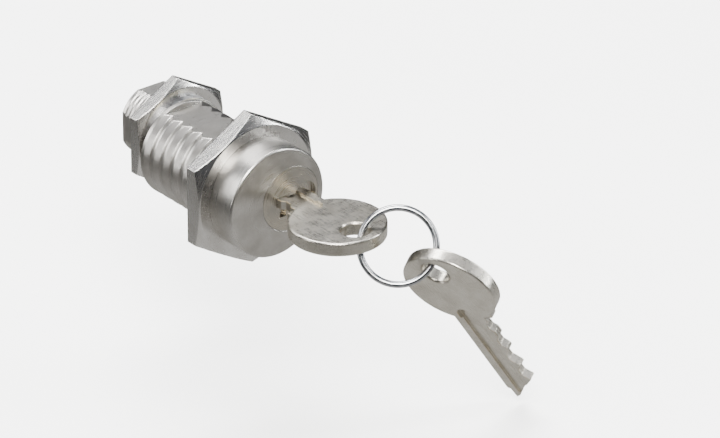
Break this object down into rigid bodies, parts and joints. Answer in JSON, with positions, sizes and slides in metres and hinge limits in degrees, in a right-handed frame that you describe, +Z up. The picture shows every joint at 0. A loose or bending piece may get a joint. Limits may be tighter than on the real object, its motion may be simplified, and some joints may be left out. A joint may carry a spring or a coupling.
{
  "type": "cam lock",
  "caption": "Threaded cam lock with a key-operated plug that turns a quarter, a panel nut, a cam nut on a flatted tail, and a spare key on a wire ring.",
  "frame": {"origin": "on the barrel's axis, in the rear face of the head", "axes": "+Y rearward along the barrel, +Z up through the upper flat, the teeth of the key point to -X"},
  "size_m": [0.0471, 0.0834, 0.0539],
  "materials": {
    "housing_plate": "satin nickel plate over a die-cast zinc body",
    "nut_plate": "bright nickel plate over steel",
    "plug_plate": "brass plug under nickel plate, turned face",
    "key_nickel": "nickel-plated brass, lightly brushed",
    "ring_steel": "bright spring wire",
    "zinc_steel": "zinc-plated steel",
    "spring_steel": "oiled spring steel",
    "steel": "hardened steel",
    "brass": "plain turned brass"
  },
  "bodies": {
    "lock_body": {"housing": "housing_plate", "panel_nut": "nut_plate", "stop_pin": "steel", "pin_spring_1": "spring_steel", "pin_spring_2": "spring_steel", "pin_spring_3": "spring_steel"},
    "plug_set": {"plug": "plug_plate", "tailpiece": "housing_plate", "stop_washer": "zinc_steel", "tail_washer": "zinc_steel", "lock_washer": "spring_steel", "cam_nut": "nut_plate", "tail_screw": "zinc_steel", "screw_washer": "zinc_steel", "key_pin_1": "brass", "key_pin_2": "brass", "key_pin_3": "brass"},
    "key_set": {"key": "key_nickel"},
    "ring_set": {"key_ring": "ring_steel"},
    "spare_set": {"spare_key": "key_nickel"},
    "driver_1_set": {"driver_pin_1": "brass"},
    "driver_2_set": {"driver_pin_2": "brass"},
    "driver_3_set": {"driver_pin_3": "brass"}
  },
  "joints": [
    {"name": "plug_turn", "type": "hinge", "parent": "lock_body", "child": "plug_set", "pos_m": [0.0031, 0, 0], "axis": [0, 1, 0], "range_deg": [0, 90]},
    {"name": "key_withdraw", "type": "slide", "parent": "plug_set", "child": "key_set", "axis": [0, -1, 0], "range_m": [0, 0.021]},
    {"name": "ring_swing", "type": "hinge", "parent": "key_set", "child": "ring_set", "pos_m": [0.0037, -0.02635, 0], "axis": [0.4656, 0.2048, 0.861], "range_deg": [-90, 45]},
    {"name": "spare_key_slide", "type": "hinge", "parent": "ring_set", "child": "spare_set", "pos_m": [0.00857, -0.03121, -0.00148], "axis": [-0.5517, -0.6936, 0.4633], "range_deg": [-85, 75]},
    {"name": "driver_1_lift", "type": "slide", "parent": "lock_body", "child": "driver_1_set", "axis": [-1, 0, 0], "range_m": [0, 0.0014], "stiffness_N_per_m": 60, "deforming": ["pin_spring_1"]},
    {"name": "driver_2_lift", "type": "slide", "parent": "lock_body", "child": "driver_2_set", "axis": [-1, 0, 0], "range_m": [0, 0.0014], "stiffness_N_per_m": 60, "deforming": ["pin_spring_2"]},
    {"name": "driver_3_lift", "type": "slide", "parent": "lock_body", "child": "driver_3_set", "axis": [-1, 0, 0], "range_m": [0, 0.0014], "stiffness_N_per_m": 60, "deforming": ["pin_spring_3"]}
  ]
}
